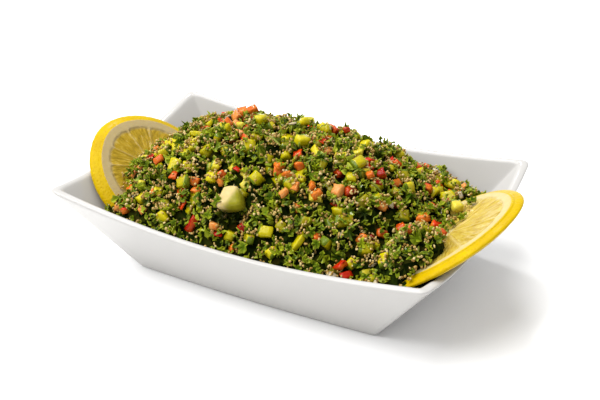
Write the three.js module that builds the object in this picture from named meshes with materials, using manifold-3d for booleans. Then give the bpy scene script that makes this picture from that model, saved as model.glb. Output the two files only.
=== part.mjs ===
// Tabbouleh served in a flared porcelain dish, with a lemon slice leaning on each end wall.
// Millimetres, +Z up. The dish stands on z = 0, centred on the origin, with its long sides along X.
import * as THREE from 'three';
import { mergeVertices } from 'three/addons/utils/BufferGeometryUtils.js';
import Module from 'manifold-3d';

const wasm = await Module();
wasm.setup();

// ---- Driving dimensions -------------------------------------------------------------------------
const RIM_LENGTH = 200; // between the corner tips
const RIM_WIDTH = 122.4;
const DISH_HEIGHT = 47; // at the corner tips
const BASE_LENGTH = 131.6;
const BASE_WIDTH = 82.1;
const RIM_DIP_LONG = 8.7; // how far the rim sags at the middle of a long side
const RIM_DIP_SHORT = 8.4;
const WALL = 3.4;
const FLOOR = 4.6;
const BASE_ROUND = 1.4; // outer edge round the foot
const FLOOR_FILLET = 7; // inner round between wall and floor
const BOW_LONG = { atBase: 1.7, perHeight: 0.0864 }; // how far a wall swells past its two corners
const BOW_SHORT = { atBase: 2.6, perHeight: 0.14 };
const CORNER_SHARE_LONG = 0.045; // share of a half side that its rounded corner takes
const CORNER_SHARE_SHORT = 0.075;
const GAP = 0.45; // clearance kept between neighbouring solids

const LONG_STEPS = 10; // facets along a long side, a short side and a corner
const SHORT_STEPS = 8;
const CORNER_STEPS = 3;
const WALL_STEPS = 4;
const LIP_STEPS = 5;
const FILLET_STEPS = 3;

// Heap of salad: a dome over the dish whose top falls away to all four walls.
const HEAP = {
  edgeHeight: 32.5, // where the dome runs out towards the walls
  rise: 33.5, // crest above that
  centreX: -2.5,
  centreY: 0,
  reachX: 85,
  reachY: 59.5,
  powerX: 2.76,
  powerY: 2.2,
  leanX: -3.5 / 86, // the left end is heaped a little higher
  cornerStart: 1.25, // the corners of the dish are left emptier
  cornerFall: 22,
};
// Where the heap stands above that dome or falls short of it.
const MOUNDS = [
  { at: [92, -5], reach: [24, 50], height: 18.5 }, // heaped up on the right slice
  { at: [92, -50], reach: [28, 28], height: 19 }, // and in the corner in front of it
  { at: [-80, -46], reach: [22, 20], height: -7 }, // below the foot of the left slice
];
const CORE_DEPTH = 2.6; // the bare core lies this far under the dome, the chopped pieces fill the rest
const LUMP_HEIGHT = 0.55;
const CORE_RINGS = 8;

// Lemon slices, each given by the middle of its cut face and the way that face looks. The skin
// bulges past the rim of the cut; `lobes` are how far the outline strays from a circle.
const LEMON_SLICES = [
  {
    name: 'lemon_slice_left',
    centre: [-75.4, -8.1, 38.1],
    normal: [0.572, -0.11, 0.813],
    radius: 29.1,
    thickness: 8,
    bulge: 4.2,
    backRadius: 29.7,
    lobes: [0.005, 0.017, 0.002, -0.031],
    firstMembrane: 0.2,
    segments: 10,
  },
  {
    name: 'lemon_slice_right',
    centre: [87.7, -13.4, 45.15],
    normal: [-0.556, -0.04, 0.83],
    radius: 32.6,
    thickness: 4.6,
    bulge: 3.2,
    backRadius: 32.6,
    lobes: [0.007, -0.007, 0.005, -0.032],
    firstMembrane: 0.05,
    segments: 9,
  },
];
const LEMON_STEPS_PER_SEGMENT = 4;
const PITH = 4.2; // width of the white ring
const ZEST_ROUND = 0.7;
const FLESH_SINK = 0.55; // juice sacs lie a little under the pith and the membranes

// Chopped pieces on the heap, at true size, the largest kinds first. `lift` raises a piece's middle
// above the bare core, `tip` is how far it may lean.
const PIECE_KINDS = [
  { shape: 'wedge', count: 1, size: [12.5, 11, 9], spread: 0, lift: 0.4, tip: 0.1, at: [-7.5, -37.5] },
  { shape: 'die', count: 42, size: [6.6, 5.8, 4.8], spread: 0.22, lift: 1.4, tip: 0.6 }, // cucumber
  { shape: 'die', count: 30, size: [5.8, 5, 3.8], spread: 0.25, lift: 1.4, tip: 0.6 }, // tomato
  { shape: 'ring', count: 7, size: [6.4, 6.4, 2.6], spread: 0.2, lift: 1.5, tip: 0.5 }, // spring onion
  { shape: 'leaf', count: 126, size: [9.4, 6.8, 0.8], spread: 0.25, lift: 1.7, tip: 0.7 }, // parsley
  { shape: 'grain', count: 40, size: [2.4, 1.8, 1.6], spread: 0.12, lift: 0.5, tip: 1 }, // bulgur
];
const PLACES_COMPARED = 24; // places drawn for each piece, of which the roomiest is kept
const SEED = 20931;

// ---- Small helpers ------------------------------------------------------------------------------
const lerp = THREE.MathUtils.lerp;

// Even random numbers from 0 to 1, the same on every run.
function seededRandom(seed) {
  let state = seed >>> 0;
  return () => {
    state = (state + 0x6d2b79f5) >>> 0;
    let mixed = Math.imul(state ^ (state >>> 15), state | 1);
    mixed ^= mixed + Math.imul(mixed ^ (mixed >>> 7), mixed | 61);
    return ((mixed ^ (mixed >>> 14)) >>> 0) / 2 ** 32;
  };
}

// Signed volume of an indexed geometry, positive when its faces look outwards.
function signedVolume(geometry) {
  const position = geometry.attributes.position;
  const index = geometry.index.array;
  const [a, b, c] = [new THREE.Vector3(), new THREE.Vector3(), new THREE.Vector3()];
  let volume = 0;
  for (let i = 0; i < index.length; i += 3) {
    a.fromBufferAttribute(position, index[i]);
    b.fromBufferAttribute(position, index[i + 1]);
    c.fromBufferAttribute(position, index[i + 2]);
    volume += a.dot(b.cross(c)) / 6;
  }
  return volume;
}

// Welds a geometry to shared corners, drops the empty triangles at its poles and turns it outwards.
function weld(source) {
  const bare = source.clone();
  bare.deleteAttribute('normal');
  bare.deleteAttribute('uv');
  const geometry = mergeVertices(bare, 1e-4);
  const old = geometry.index.array;
  const kept = [];
  for (let i = 0; i < old.length; i += 3) {
    const [a, b, c] = [old[i], old[i + 1], old[i + 2]];
    if (a !== b && b !== c && c !== a) kept.push(a, b, c);
  }
  geometry.setIndex(kept);
  if (signedVolume(geometry) < 0) {
    for (let i = 0; i < kept.length; i += 3) {
      [kept[i], kept[i + 1]] = [kept[i + 1], kept[i]];
    }
    geometry.setIndex(kept);
  }
  return geometry;
}

function toSolid(geometry) {
  const welded = weld(geometry);
  return new wasm.Manifold(new wasm.Mesh({
    numProp: 3,
    vertProperties: new Float32Array(welded.attributes.position.array),
    triVerts: new Uint32Array(welded.index.array),
  }));
}

function toGeometry(solid) {
  const mesh = solid.getMesh();
  const geometry = new THREE.BufferGeometry();
  const corners = new Float32Array(mesh.vertProperties);
  geometry.setAttribute('position', new THREE.BufferAttribute(corners, 3));
  geometry.setIndex(new THREE.BufferAttribute(new Uint32Array(mesh.triVerts), 1));
  geometry.computeVertexNormals();
  return geometry;
}

// A closed skin with the layout of a lathe: `place(column, row)` puts each of its points. The first
// and last rows are its two poles.
function latheSkin(columns, rows, place) {
  const profile = [];
  for (let row = 0; row < rows; row++) {
    const onAxis = row === 0 || row === rows - 1;
    profile.push(new THREE.Vector2(onAxis ? 0 : 1, row));
  }
  const geometry = new THREE.LatheGeometry(profile, columns);
  const position = geometry.attributes.position;
  for (let column = 0; column <= columns; column++) {
    for (let row = 0; row < rows; row++) {
      const point = place(column % columns, row);
      position.setXYZ(column * rows + row, point.x, point.y, point.z);
    }
  }
  return weld(geometry);
}

// ---- Dish ---------------------------------------------------------------------------------------
const FLARE_LONG = (RIM_LENGTH - BASE_LENGTH) / 2 / DISH_HEIGHT; // how the end walls lean out
const FLARE_WIDE = (RIM_WIDTH - BASE_WIDTH) / 2 / DISH_HEIGHT;
const WALL_X = WALL * Math.hypot(1, FLARE_LONG); // level thickness of the leaning walls
const WALL_Y = WALL * Math.hypot(1, FLARE_WIDE);

// The stations run once round the dish: four sides with a rounded corner after each. A side gives
// the signs of its start and end corners.
const SIDES = [
  { long: true, from: [-1, -1], to: [1, -1] },
  { long: false, from: [1, -1], to: [1, 1] },
  { long: true, from: [1, 1], to: [-1, 1] },
  { long: false, from: [-1, 1], to: [-1, -1] },
];

function makeStations() {
  const stations = [];
  SIDES.forEach((side, index) => {
    const steps = side.long ? LONG_STEPS : SHORT_STEPS;
    const reach = 1 - (side.long ? CORNER_SHARE_LONG : CORNER_SHARE_SHORT);
    for (let i = 0; i <= steps; i++) {
      stations.push({ side: index, along: lerp(-reach, reach, i / steps) });
    }
    for (let i = 1; i < CORNER_STEPS; i++) {
      stations.push({ side: index, turn: i / CORNER_STEPS });
    }
  });
  return stations;
}
const STATIONS = makeStations();

// A point on one side at a height: a straight run between its corners, swollen by the bow. `skin`
// is 0 on the outer face and 1 on the inner one, `inset` moves further in.
function sidePoint(side, along, z, skin, inset) {
  const halfX = BASE_LENGTH / 2 + FLARE_LONG * z - skin * WALL_X - inset;
  const halfY = BASE_WIDTH / 2 + FLARE_WIDE * z - skin * WALL_Y - inset;
  const bow = side.long ? BOW_LONG : BOW_SHORT;
  const swell = (bow.atBase + bow.perHeight * z) * (1 - along * along);
  const share = (along + 1) / 2;
  const x = lerp(side.from[0], side.to[0], share) * halfX + (side.long ? 0 : side.from[0] * swell);
  const y = lerp(side.from[1], side.to[1], share) * halfY + (side.long ? side.from[1] * swell : 0);
  return new THREE.Vector3(x, y, z);
}

function sideRim(side, along) {
  const dip = side.long ? RIM_DIP_LONG : RIM_DIP_SHORT;
  return DISH_HEIGHT - dip * (1 - along * along);
}

function cornerReach(side) {
  return 1 - (side.long ? CORNER_SHARE_LONG : CORNER_SHARE_SHORT);
}

// Value along a corner's curve from the end of one side to the start of the next.
function curveThroughCorner(turn, start, corner, end) {
  return (1 - turn) ** 2 * start + 2 * turn * (1 - turn) * corner + turn ** 2 * end;
}

function dishPoint(station, z, skin = 0, inset = 0) {
  const side = SIDES[station.side];
  if (station.turn === undefined) return sidePoint(side, station.along, z, skin, inset);
  const next = SIDES[(station.side + 1) % SIDES.length];
  const start = sidePoint(side, cornerReach(side), z, skin, inset);
  const corner = sidePoint(side, 1, z, skin, inset);
  const end = sidePoint(next, -cornerReach(next), z, skin, inset);
  return new THREE.Vector3(
    curveThroughCorner(station.turn, start.x, corner.x, end.x),
    curveThroughCorner(station.turn, start.y, corner.y, end.y),
    z,
  );
}

function rimHeight(station) {
  const side = SIDES[station.side];
  if (station.turn === undefined) return sideRim(side, station.along);
  const next = SIDES[(station.side + 1) % SIDES.length];
  const start = sideRim(side, cornerReach(side));
  const end = sideRim(next, -cornerReach(next));
  return curveThroughCorner(station.turn, start, DISH_HEIGHT, end);
}

const scaledPlan = (point, share, z) => new THREE.Vector3(point.x * share, point.y * share, z);

// Rows of the dish's skin, from the middle of its foot up the outer wall, over the lip and down the
// inner wall to the middle of its floor.
function dishRows() {
  const rows = [];
  rows.push(() => new THREE.Vector3(0, 0, 0));
  rows.push((s) => scaledPlan(dishPoint(s, 0, 0, BASE_ROUND), 0.5, 0));
  rows.push((s) => dishPoint(s, 0, 0, BASE_ROUND));
  rows.push((s) => dishPoint(s, BASE_ROUND * 0.3, 0, BASE_ROUND * 0.3));
  for (let i = 0; i < WALL_STEPS; i++) {
    rows.push((s) => dishPoint(s, lerp(BASE_ROUND, rimHeight(s) - WALL / 2, i / WALL_STEPS)));
  }
  for (let i = 0; i <= LIP_STEPS; i++) {
    const angle = (i / LIP_STEPS) * Math.PI;
    const height = (1 - Math.sin(angle)) * (WALL / 2);
    rows.push((s) => dishPoint(s, rimHeight(s) - height, (1 - Math.cos(angle)) / 2));
  }
  for (let i = WALL_STEPS - 1; i >= 1; i--) {
    const low = FLOOR + FLOOR_FILLET;
    rows.push((s) => dishPoint(s, lerp(low, rimHeight(s) - WALL / 2, i / WALL_STEPS), 1));
  }
  for (let i = 0; i <= FILLET_STEPS; i++) {
    rows.push((s) => filletPoint(s, i / FILLET_STEPS, 0));
  }
  rows.push((s) => scaledPlan(filletPoint(s, 1, 0), 0.5, FLOOR));
  rows.push(() => new THREE.Vector3(0, 0, FLOOR));
  return rows;
}

// The round between inner wall and floor, `gap` above it.
function filletPoint(station, share, gap) {
  const z = FLOOR + FLOOR_FILLET * (1 - share) ** 2 + gap;
  return dishPoint(station, z, 1, FLOOR_FILLET * share ** 2 + gap);
}

function makeDish() {
  const rows = dishRows();
  const geometry = latheSkin(STATIONS.length, rows.length, (c, r) => rows[r](STATIONS[c]));
  geometry.computeVertexNormals();
  const glaze = new THREE.MeshStandardMaterial({ color: 0xf2f1ee, roughness: 0.22, metalness: 0 });
  const mesh = new THREE.Mesh(geometry, glaze);
  mesh.name = 'dish';
  return mesh;
}

// ---- Lemon slices -------------------------------------------------------------------------------
// A slice's own frame has its cut face looking along +Z and the way up that face along +Y.
function sliceMatrix(slice) {
  const normal = new THREE.Vector3(...slice.normal).normalize();
  const across = new THREE.Vector3(0, 0, 1).cross(normal).normalize();
  const up = normal.clone().cross(across);
  const turn = new THREE.Matrix4().makeBasis(across, up, normal);
  return turn.setPosition(...slice.centre);
}

// Radius of the outline at an angle, for a ring of the given radius.
function sliceOutline(slice, radius, angle) {
  const [a, b, c, d] = slice.lobes;
  const twice = a * Math.cos(2 * angle) + b * Math.sin(2 * angle);
  const thrice = c * Math.cos(3 * angle) + d * Math.sin(3 * angle);
  return radius * (1 + twice + thrice);
}

// Rings of the skin between the cut face and the back.
function skinRings({ radius, bulge, thickness, backRadius }) {
  return [
    { radius: radius + bulge * 0.75, z: -thickness * 0.28, sunk: 0 },
    { radius: radius + bulge, z: -thickness * 0.55, sunk: 0 },
    { radius: radius + bulge * 0.5, z: -thickness * 0.82, sunk: 0 },
    { radius: backRadius, z: -thickness, sunk: 0 },
  ];
}

function sliceSkin(slice, rings, top, bottom) {
  const columns = slice.segments * LEMON_STEPS_PER_SEGMENT;
  return latheSkin(columns, rings.length + 2, (column, row) => {
    if (row === 0) return new THREE.Vector3(0, 0, top);
    if (row === rings.length + 1) return new THREE.Vector3(0, 0, bottom);
    const ring = rings[row - 1];
    const angle = slice.firstMembrane + (column / columns) * 2 * Math.PI;
    const onMembrane = column % LEMON_STEPS_PER_SEGMENT === 0;
    const radius = sliceOutline(slice, ring.radius, angle);
    const z = ring.z - (onMembrane ? 0 : ring.sunk * FLESH_SINK);
    return new THREE.Vector3(radius * Math.cos(angle), radius * Math.sin(angle), z);
  });
}

function makeLemonSlice(slice) {
  const flesh = slice.radius - PITH;
  // Radius and height of each ring; `sunk` rings drop between the membranes.
  const rings = [
    { radius: 0.12 * flesh, z: -0.2, sunk: 0.3 },
    { radius: 0.5 * flesh, z: 0, sunk: 1 },
    { radius: flesh, z: 0, sunk: 1 },
    { radius: flesh + 0.6, z: 0, sunk: 0 },
    { radius: slice.radius - ZEST_ROUND, z: 0, sunk: 0 },
    { radius: slice.radius, z: -ZEST_ROUND * 0.6, sunk: 0 },
    ...skinRings(slice),
    { radius: flesh * 0.6, z: -slice.thickness, sunk: 0 },
  ];
  const geometry = sliceSkin(slice, rings, -0.2, -slice.thickness);
  geometry.computeVertexNormals();
  const peel = new THREE.MeshStandardMaterial({ color: 0xf4c414, roughness: 0.4, metalness: 0 });
  const mesh = new THREE.Mesh(geometry, peel);
  mesh.name = slice.name;
  mesh.applyMatrix4(sliceMatrix(slice));
  return mesh;
}

// The space that a slice takes up in the salad, with its clearance. The skin leans, so its rings
// move out by more than the clearance.
function sliceBed(slice) {
  const wide = GAP * 1.7;
  const rings = skinRings(slice).map((ring) => ({ ...ring, radius: ring.radius + wide }));
  const face = { radius: slice.radius + wide, z: GAP, sunk: 0 };
  const back = { radius: slice.backRadius + wide, z: -slice.thickness - GAP, sunk: 0 };
  const bed = sliceSkin(slice, [face, ...rings, back], GAP, -slice.thickness - GAP);
  bed.applyMatrix4(sliceMatrix(slice));
  return toSolid(bed);
}

// ---- Salad --------------------------------------------------------------------------------------
function heapHeight(x, y) {
  const u = Math.abs(x - HEAP.centreX) / HEAP.reachX;
  const v = Math.abs(y - HEAP.centreY) / HEAP.reachY;
  const dome = Math.max(0, 1 - u ** HEAP.powerX) * Math.max(0, 1 - v ** HEAP.powerY);
  const corner = Math.max(0, u * u + v * v - HEAP.cornerStart) * HEAP.cornerFall;
  let height = HEAP.edgeHeight + HEAP.leanX * x + HEAP.rise * dome - corner;
  for (const mound of MOUNDS) {
    const alongX = ((x - mound.at[0]) / mound.reach[0]) ** 2;
    const alongY = ((y - mound.at[1]) / mound.reach[1]) ** 4;
    height += mound.height * Math.max(0, 1 - alongX) * Math.max(0, 1 - alongY);
  }
  return height;
}

function heapNormal(x, y) {
  const step = 0.5;
  const slopeX = (heapHeight(x + step, y) - heapHeight(x - step, y)) / (2 * step);
  const slopeY = (heapHeight(x, y + step) - heapHeight(x, y - step)) / (2 * step);
  return new THREE.Vector3(-slopeX, -slopeY, 1).normalize();
}

// The bare core follows the dome with a few low lumps.
function coreHeight(x, y) {
  const lumps = Math.sin(x / 5.3 + 1) * Math.sin(y / 4.7 + 0.4) + Math.sin(x / 9.1 - y / 7.7);
  return heapHeight(x, y) - CORE_DEPTH + lumps * LUMP_HEIGHT;
}

// Height at which the core meets the inner wall at a station, found by halving the interval.
function contactHeight(station) {
  let low = FLOOR + FLOOR_FILLET + 1;
  let high = rimHeight(station) - 1;
  for (let i = 0; i < 30; i++) {
    const middle = (low + high) / 2;
    const point = dishPoint(station, middle, 1, GAP);
    if (coreHeight(point.x, point.y) > middle) low = middle;
    else high = middle;
  }
  return low;
}

function makeCore() {
  const contacts = STATIONS.map(contactHeight);
  const rows = [];
  const crest = { x: HEAP.centreX, y: HEAP.centreY };
  for (let i = 0; i < CORE_RINGS; i++) {
    const share = Math.sin(((i / CORE_RINGS) * Math.PI) / 2);
    rows.push((c) => {
      const edge = dishPoint(STATIONS[c], contacts[c], 1, GAP);
      const x = lerp(crest.x, edge.x, share);
      const y = lerp(crest.y, edge.y, share);
      return new THREE.Vector3(x, y, coreHeight(x, y));
    });
  }
  rows.push((c) => dishPoint(STATIONS[c], contacts[c], 1, GAP));
  rows.push((c) => dishPoint(STATIONS[c], lerp(FLOOR + FLOOR_FILLET, contacts[c], 0.5), 1, GAP));
  for (let i = 0; i <= FILLET_STEPS; i++) {
    rows.push((c) => filletPoint(STATIONS[c], i / FILLET_STEPS, GAP));
  }
  rows.push(() => new THREE.Vector3(0, 0, FLOOR + GAP));
  return toSolid(latheSkin(STATIONS.length, rows.length, (c, r) => rows[r](c)));
}

// A knife-cut die with no two sides quite parallel.
function makeDie(size, random) {
  const geometry = weld(new THREE.BoxGeometry(...size));
  const position = geometry.attributes.position;
  for (let i = 0; i < position.count; i++) {
    const skew = () => 1 - random() * 0.3;
    position.setXYZ(i, position.getX(i) * skew(), position.getY(i) * skew(), position.getZ(i) * skew());
  }
  return geometry;
}

// A quarter of a thick cucumber round: flat cuts with a curved skin.
function makeWedge(size) {
  const [length, width, height] = size;
  const outline = new THREE.Shape();
  outline.moveTo(-length / 2, -width / 2);
  outline.lineTo(length / 2, -width / 2);
  outline.quadraticCurveTo(length / 2, width / 2, -length / 2, width / 2);
  const geometry = new THREE.ExtrudeGeometry(outline, { depth: height, bevelEnabled: false, curveSegments: 5 });
  geometry.translate(0, 0, -height / 2);
  return weld(geometry);
}

// A torn parsley leaf: a thin lobed plate with a wave in it.
function makeLeaf(size, random) {
  const [length, width, thickness] = size;
  const lobes = 4;
  const outline = new THREE.Shape();
  for (let i = 0; i < lobes * 2; i++) {
    const angle = (i / (lobes * 2)) * 2 * Math.PI;
    const reach = (i % 2 === 0 ? 1 : 0.58) * (0.85 + 0.15 * random());
    const x = (reach * Math.cos(angle) * length) / 2;
    const y = (reach * Math.sin(angle) * width) / 2;
    if (i === 0) outline.moveTo(x, y);
    else outline.lineTo(x, y);
  }
  const geometry = new THREE.ExtrudeGeometry(outline, { depth: thickness, bevelEnabled: false });
  const position = geometry.attributes.position;
  const phase = random() * 2 * Math.PI;
  for (let i = 0; i < position.count; i++) {
    const [x, y, z] = [position.getX(i), position.getY(i), position.getZ(i)];
    const wave = Math.sin((x / length) * 5 + phase) * 0.9 + Math.cos((y / width) * 4 + phase) * 0.5;
    position.setZ(i, z - thickness / 2 + wave);
  }
  return weld(geometry);
}

// A slice of spring onion, open in the middle.
function makeRing(size) {
  const [diameter, , height] = size;
  const outer = diameter / 2;
  const inner = outer * 0.55;
  const profile = [
    new THREE.Vector2(inner, -height / 2),
    new THREE.Vector2(outer, -height / 2),
    new THREE.Vector2(outer, height / 2),
    new THREE.Vector2(inner, height / 2),
    new THREE.Vector2(inner, -height / 2),
  ];
  return weld(new THREE.LatheGeometry(profile, 6));
}

function makeGrain(size) {
  const geometry = new THREE.IcosahedronGeometry(0.5, 0);
  geometry.scale(...size);
  return weld(geometry);
}

const SHAPES = { die: makeDie, wedge: makeWedge, leaf: makeLeaf, ring: makeRing, grain: makeGrain };

// How far a point lies inside the dish's inner wall, negative beyond it.
function wallClearance(point) {
  const halfX = BASE_LENGTH / 2 + FLARE_LONG * point.z - WALL_X;
  const halfY = BASE_WIDTH / 2 + FLARE_WIDE * point.z - WALL_Y;
  const u = THREE.MathUtils.clamp(point.x / halfX, -1, 1);
  const v = THREE.MathUtils.clamp(point.y / halfY, -1, 1);
  const swellX = (BOW_SHORT.atBase + BOW_SHORT.perHeight * point.z) * (1 - v * v);
  const swellY = (BOW_LONG.atBase + BOW_LONG.perHeight * point.z) * (1 - u * u);
  return Math.min(halfX + swellX - Math.abs(point.x), halfY + swellY - Math.abs(point.y));
}

// Spreads the pieces over the dome, each kind in turn: of several places that are clear of the dish
// and the lemon slices, each piece takes the one with the most room round it.
function placePieces(random) {
  const placed = [];
  const intoSlice = LEMON_SLICES.map((slice) => sliceMatrix(slice).invert());
  const isClear = (centre, radius) => {
    const aboveSlices = intoSlice.every((m) => centre.clone().applyMatrix4(m).z > radius * 0.3);
    return aboveSlices && wallClearance(centre) > radius + GAP;
  };
  const roomAt = (centre, radius) => {
    const rooms = placed.map((p) => p.centre.distanceTo(centre) / (p.radius + radius));
    return Math.min(...rooms, 10);
  };
  for (const kind of PIECE_KINDS) {
    for (let n = 0; n < kind.count; n++) {
      const scale = 1 + (random() * 2 - 1) * kind.spread;
      const size = kind.size.map((s) => s * scale);
      const radius = Math.hypot(size[0], size[1]) / 2;
      let best = null;
      for (let draw = 0; draw < PLACES_COMPARED; draw++) {
        const [x, y] = kind.at ?? [(random() * 2 - 1) * HEAP.reachX, (random() * 2 - 1) * HEAP.reachY];
        const normal = heapNormal(x, y);
        const centre = new THREE.Vector3(x, y, coreHeight(x, y)).addScaledVector(normal, kind.lift);
        if (!isClear(centre, radius)) continue;
        const room = roomAt(centre, radius);
        if (best === null || room > best.room) best = { kind, size, radius, centre, normal, room };
      }
      if (best !== null) placed.push(best);
    }
  }
  return placed;
}

// Pieces lie on the slope, turned at random and tipped a little.
function pieceMatrix(piece, random) {
  const up = new THREE.Vector3(0, 0, 1);
  const tip = () => (random() * 2 - 1) * piece.kind.tip;
  const lean = new THREE.Euler(tip(), tip(), random() * 2 * Math.PI, 'ZXY');
  const turn = new THREE.Quaternion().setFromUnitVectors(up, piece.normal);
  turn.multiply(new THREE.Quaternion().setFromEuler(lean));
  return new THREE.Matrix4().compose(piece.centre, turn, new THREE.Vector3(1, 1, 1));
}

// Of the bodies that a union and its cuts leave, the main one: loose scraps and sealed hollows go.
function mainBody(solid) {
  const bodies = solid.decompose();
  return bodies.reduce((best, body) => (body.volume() > best.volume() ? body : best));
}

function makeSalad() {
  const random = seededRandom(SEED);
  let salad = makeCore();
  for (const piece of placePieces(random)) {
    const geometry = SHAPES[piece.kind.shape](piece.size, random);
    geometry.applyMatrix4(pieceMatrix(piece, random));
    salad = salad.add(toSolid(geometry));
  }
  for (const slice of LEMON_SLICES) {
    salad = salad.subtract(sliceBed(slice));
  }
  const greens = new THREE.MeshStandardMaterial({ color: 0x55762a, roughness: 0.55, metalness: 0 });
  const mesh = new THREE.Mesh(toGeometry(mainBody(salad)), greens);
  mesh.name = 'salad';
  return mesh;
}

// ---- Assembly -----------------------------------------------------------------------------------
const servedSalad = new THREE.Group();
servedSalad.name = 'tabbouleh_in_dish';
servedSalad.add(makeDish());
servedSalad.add(makeSalad());
for (const slice of LEMON_SLICES) {
  servedSalad.add(makeLemonSlice(slice));
}

export default servedSalad;
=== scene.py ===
from math import atan2, copysign, cos, hypot, pi, sin

import bmesh
import bpy
import numpy as np
from mathutils import Matrix, Quaternion, Vector, noise


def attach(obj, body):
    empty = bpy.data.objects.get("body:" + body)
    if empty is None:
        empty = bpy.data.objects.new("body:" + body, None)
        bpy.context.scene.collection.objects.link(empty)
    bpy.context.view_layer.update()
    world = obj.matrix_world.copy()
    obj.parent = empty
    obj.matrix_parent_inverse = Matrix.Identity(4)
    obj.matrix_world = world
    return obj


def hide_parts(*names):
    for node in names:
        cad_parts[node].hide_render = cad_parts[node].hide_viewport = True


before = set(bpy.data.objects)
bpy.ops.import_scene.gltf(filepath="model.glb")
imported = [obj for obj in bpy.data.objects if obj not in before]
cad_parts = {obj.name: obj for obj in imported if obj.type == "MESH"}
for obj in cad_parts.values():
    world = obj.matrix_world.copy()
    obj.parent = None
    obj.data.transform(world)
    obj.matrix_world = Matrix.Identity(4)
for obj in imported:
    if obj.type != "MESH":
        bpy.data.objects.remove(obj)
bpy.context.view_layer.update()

# Tabbouleh in a flared porcelain dish with a lemon slice at each end. Every piece is shaped in
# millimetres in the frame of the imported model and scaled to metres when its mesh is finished.
MM = 0.001
SEED = 4817
noise.seed_set(SEED)  # without this, noise vectors are seeded by the clock

# ---- Dish sizes ----
RIM_LENGTH = 200.0
RIM_WIDTH = 122.4
DISH_HEIGHT = 47.0
BASE_LENGTH = 131.6
BASE_WIDTH = 82.1
RIM_DIP = {"long": 8.7, "short": 8.4}
WALL = 3.4
FLOOR = 4.6
BASE_ROUND = 1.4
FLOOR_FILLET = 7.0
BOW = {"long": (1.7, 0.0864), "short": (2.6, 0.14)}  # swell at the base, and more for each mm up
CORNER_SHARE = {"long": 0.045, "short": 0.075}
INNER_CORNER_PULL = 3.0  # the inner wall is folded more sharply than the outer one
FOOT_RING = 5.0  # width of the bare ring that the dish stands on
FOOT_HOLLOW = 1.1
FLARE_X = (RIM_LENGTH - BASE_LENGTH) / 2 / DISH_HEIGHT
FLARE_Y = (RIM_WIDTH - BASE_WIDTH) / 2 / DISH_HEIGHT
WALL_X = WALL * hypot(1, FLARE_X)
WALL_Y = WALL * hypot(1, FLARE_Y)

# ---- Heap of salad ----
HEAP = {
    "edge_height": 32.5,
    "rise": 33.5,
    "centre": (-2.5, 0.0),
    "reach": (85.0, 59.5),
    "power": (2.76, 2.2),
    "lean": -3.5 / 86,
    "corner_start": 1.25,
    "corner_fall": 22.0,
}
# Where the heap stands above that dome or falls short of it: middle, reach, height.
MOUNDS = [((92, -5), (24, 50), 18.5), ((92, -50), (28, 28), 19.0), ((-80, -46), (22, 20), -7.0)]
CORE_DEPTH = 4.0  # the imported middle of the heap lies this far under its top
CLUMP_SPACING = 9.0
CLUMP_HEIGHTS = (-1.2, 3.2)
CLUMP_ROUND = 0.1  # how fast a clump falls off round its middle
WEDGE_PLACE = (-6.6, -39.6)  # where the one large chunk lies
WEDGE_DIP = 3.4  # depth of the hollow it lies in
# Curls of parsley set on top: middle, how far they spread, how many.
CURLS = [((-10.0, 33.0), 3.4, 5), ((-8.6, -46.0), 2.4, 5), ((90.0, 9.0), 0.1, 1)]

# ---- Lemon slices ----
SLICES = {
    "lemon_slice_left": {
        "centre": (-75.4, -8.1, 38.1), "normal": (0.572, -0.11, 0.813),
        "radius": 29.1, "thickness": 8.0, "bulge": 4.2, "back_radius": 29.7,
        "lobes": (0.005, 0.017, 0.002, -0.031),
        "first_membrane": 0.2, "segments": 10, "zest": 2.5, "blur": 1.9,
        # The left slice's flesh and pith are coloured darker than the right slice's: painted shade
        # on its cut face.
        "flesh_stops": ((0.34, "80690a"), (0.45, "907612"), (0.56, "a0841f"), (0.68, "ab9548")),
        "pith_tones": ("98865a", "a6946a"),
    },
    "lemon_slice_right": {
        "centre": (87.7, -13.4, 45.15), "normal": (-0.556, -0.04, 0.83),
        "radius": 32.6, "thickness": 4.6, "bulge": 3.2, "back_radius": 32.6,
        "lobes": (0.007, -0.007, 0.005, -0.032),
        "first_membrane": 0.05, "segments": 9, "zest": 1.9, "blur": 1.2,
        "flesh_stops": ((0.34, "947c22"), (0.45, "a48a2e"), (0.56, "ae983e"), (0.68, "b8a658")),
        "pith_tones": ("ab9a62", "b9aa78"),
    },
}
PITH = 4.2
ZEST_ROUND = 0.7


# ---- Small helpers ----
def lerp(a, b, share):
    return a + (b - a) * share


def clamp(value, low=0.0, high=1.0):
    return max(low, min(high, value))


def smooth(low, high, value):
    share = clamp((value - low) / (high - low))
    return share * share * (3 - 2 * share)


def wavy(x, y, z, size):
    """Smooth noise from -1 to 1 whose bumps are about `size` across."""
    return noise.noise(Vector((x, y, z)) / size)


def polar(point):
    """Distance and angle of a point round the Z axis."""
    return hypot(point.x, point.y), atan2(point.y, point.x)


def wrapped_skin(columns, rows, place):
    """A closed skin: a grid whose points place(turn, row) puts round the piece, then welded."""
    bm = bmesh.new()
    unrolled = bm.loops.layers.uv.new("polar")
    bmesh.ops.create_grid(bm, x_segments=columns, y_segments=rows, size=1)
    cells = {
        v: (round((v.co.x + 1) / 2 * columns), round((v.co.y + 1) / 2 * rows)) for v in bm.verts
    }
    for face in bm.faces:
        for loop in face.loops:
            column, row = cells[loop.vert]
            loop[unrolled].uv = (column / columns, row / rows)
    for v, (column, row) in cells.items():
        v.co = place(column % columns / columns, row)
    bmesh.ops.remove_doubles(bm, verts=bm.verts, dist=1e-5)
    bmesh.ops.recalc_face_normals(bm, faces=bm.faces)
    return bm


def finish_piece(name, bm, *materials):
    """Turns a bmesh in millimetres into a named piece of the object."""
    bmesh.ops.scale(bm, vec=(MM, MM, MM), verts=bm.verts)
    mesh = bpy.data.meshes.new(name)
    bm.to_mesh(mesh)
    bm.free()
    return show_piece(name, mesh, *materials)


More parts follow.
